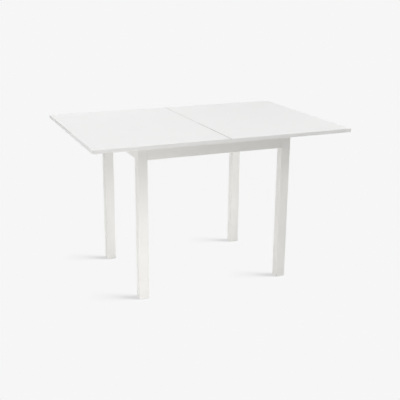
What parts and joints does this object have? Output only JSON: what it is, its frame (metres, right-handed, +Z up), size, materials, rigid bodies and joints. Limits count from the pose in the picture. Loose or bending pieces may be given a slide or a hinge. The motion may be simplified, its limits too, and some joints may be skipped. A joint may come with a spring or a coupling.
{
  "type": "extending dining table",
  "caption": "Extending dining table: a top that folds over on itself turns on an off-centre pivot above a railed leg frame, and opens out flat to its full length.",
  "frame": {"origin": "on the floor, under the middle of the open top", "axes": "+X along the open top from the swivel leaf to the folding leaf, +Y from front to rear, +Z up"},
  "size_m": [1.2, 0.8, 0.73],
  "materials": {
    "board": "white melamine-faced board, satin, with a rounded white edging",
    "lacquer": "white lacquered wood, satin",
    "plain_wood": "planed softwood, unfinished",
    "zinc_steel": "bright zinc plate",
    "spring_steel": "dark oiled steel",
    "zinc_alloy": "satin zinc alloy casting",
    "nylon": "moulded white nylon",
    "grey_plastic": "moulded grey plastic",
    "felt": "grey felt"
  },
  "bodies": {
    "frame": {"leg_front_left": "lacquer", "foot_front_left": "nylon", "corner_plate_front_left": "zinc_steel", "hanger_bolt_front_left": "zinc_steel", "flange_nut_front_left": "zinc_steel", "leg_front_right": "lacquer", "foot_front_right": "nylon", "corner_plate_front_right": "zinc_steel", "hanger_bolt_front_right": "zinc_steel", "flange_nut_front_right": "zinc_steel", "leg_rear_left": "lacquer", "foot_rear_left": "nylon", "corner_plate_rear_left": "zinc_steel", "hanger_bolt_rear_left": "zinc_steel", "flange_nut_rear_left": "zinc_steel", "leg_rear_right": "lacquer", "foot_rear_right": "nylon", "corner_plate_rear_right": "zinc_steel", "hanger_bolt_rear_right": "zinc_steel", "flange_nut_rear_right": "zinc_steel", "rail_front": "lacquer", "felt_front": "felt", "rail_rear": "lacquer", "felt_rear": "felt", "rail_left": "lacquer", "felt_left": "felt", "rail_right": "lacquer", "felt_right": "felt", "cleat_front": "plain_wood", "cleat_rear": "plain_wood", "pivot_board": "board", "slip_ring": "nylon", "pivot_bush": "nylon"},
    "swivel_leaf": {"leaf_swivel": "board", "pivot_plate": "zinc_steel", "pivot_bolt": "zinc_steel", "pivot_washer": "zinc_steel", "spring_washer": "spring_steel", "lock_nut": "zinc_steel", "stop_peg": "grey_plastic", "plate_screw_1": "zinc_steel", "plate_screw_2": "zinc_steel", "plate_screw_3": "zinc_steel", "plate_screw_4": "zinc_steel", "hinge_body_swivel_1": "zinc_alloy", "hinge_body_swivel_2": "zinc_alloy", "hinge_body_swivel_3": "zinc_alloy"},
    "folding_leaf": {"leaf_folding": "board", "hinge_body_folding_1": "zinc_alloy", "hinge_body_folding_2": "zinc_alloy", "hinge_body_folding_3": "zinc_alloy"},
    "swivel_links": {"hinge_link_swivel_1": "zinc_steel", "hinge_link_swivel_2": "zinc_steel", "hinge_link_swivel_3": "zinc_steel"},
    "folding_links": {"hinge_link_folding_1": "zinc_steel", "hinge_link_folding_2": "zinc_steel", "hinge_link_folding_3": "zinc_steel"}
  },
  "joints": [
    {"name": "top_swivel", "type": "hinge", "parent": "frame", "child": "swivel_leaf", "pos_m": [-0.154, 0.146, 0.714], "axis": [0, 0, 1], "range_deg": [0, 90]},
    {"name": "leaf_fold", "type": "hinge", "parent": "swivel_leaf", "child": "folding_leaf", "pos_m": [0, 0, 0.7304], "axis": [0, -1, 0], "range_deg": [0, 180]},
    {"name": "swivel_links_turn", "type": "hinge", "parent": "swivel_leaf", "child": "swivel_links", "pos_m": [-0.00409, 0, 0.724], "axis": [0, -1, 0], "range_deg": [0, 90]},
    {"name": "folding_links_turn", "type": "hinge", "parent": "folding_leaf", "child": "folding_links", "pos_m": [0.00409, 0, 0.724], "axis": [0, -1, 0], "range_deg": [-90, 0]}
  ],
  "couplings": [
    {"joint": "swivel_links_turn", "follows": "leaf_fold", "ratio": 0.5},
    {"joint": "folding_links_turn", "follows": "leaf_fold", "ratio": -0.5}
  ]
}
